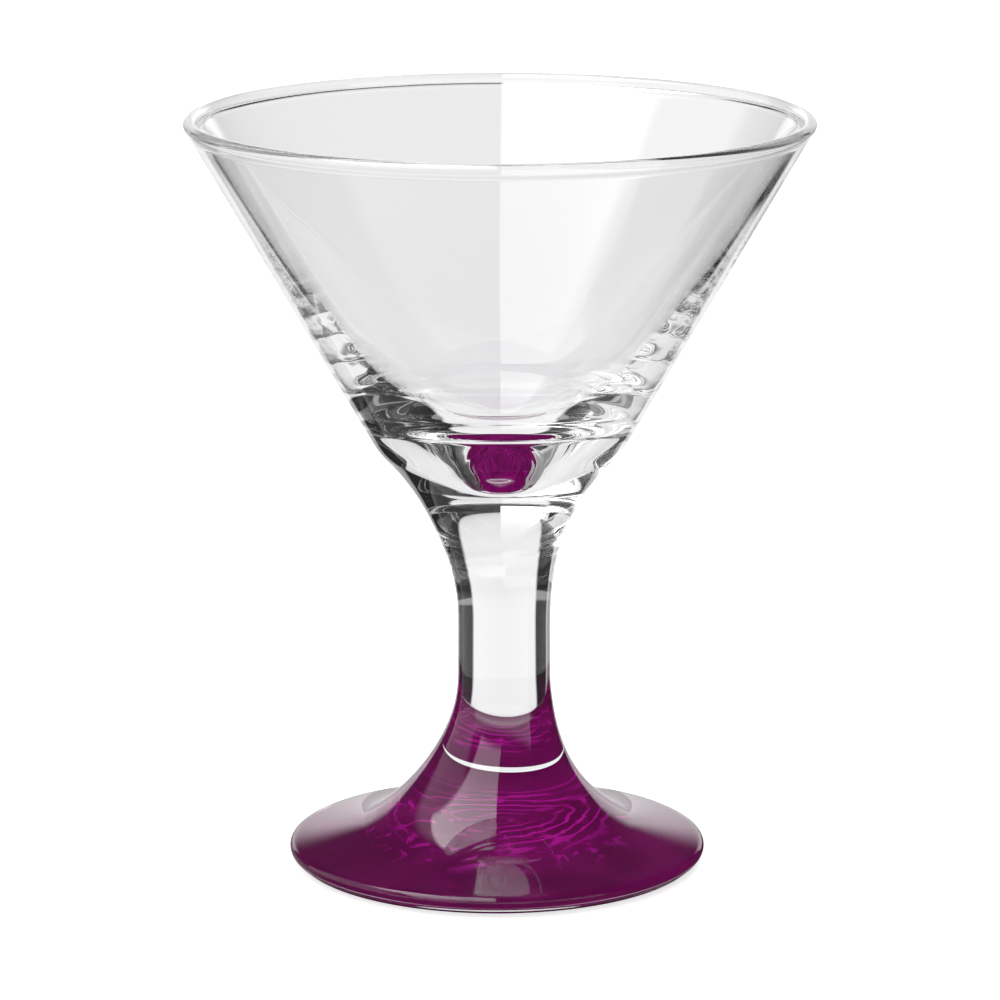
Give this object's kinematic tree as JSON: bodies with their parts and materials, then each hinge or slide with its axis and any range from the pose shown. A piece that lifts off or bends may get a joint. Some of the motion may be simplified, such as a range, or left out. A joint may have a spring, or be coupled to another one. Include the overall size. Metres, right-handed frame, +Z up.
{
  "type": "mini martini glass",
  "caption": "Short stemmed cocktail glass: clear cone bowl with a rolled rim and heavy pointed base, waisted stem, and a round clear foot lacquered magenta from below.",
  "frame": {"origin": "on the table, at the middle of the foot's standing ring", "axes": "+Z up along the axis that the glass is turned about; X and Y lie in the table"},
  "size_m": [0.0862, 0.0862, 0.105],
  "materials": {
    "bowl_glass": "fire-polished, clear",
    "stem_glass": "fire-polished, clear",
    "foot_glass": "pressed, clear",
    "foot_lacquer": "magenta lacquer, gloss",
    "base_lacquer": "magenta lacquer, gloss"
  },
  "bodies": {
    "root": {"bowl": "bowl_glass", "stem": "stem_glass", "foot": "foot_glass", "foot_coat": "foot_lacquer", "base_coat": "base_lacquer"}
  },
  "joints": []
}
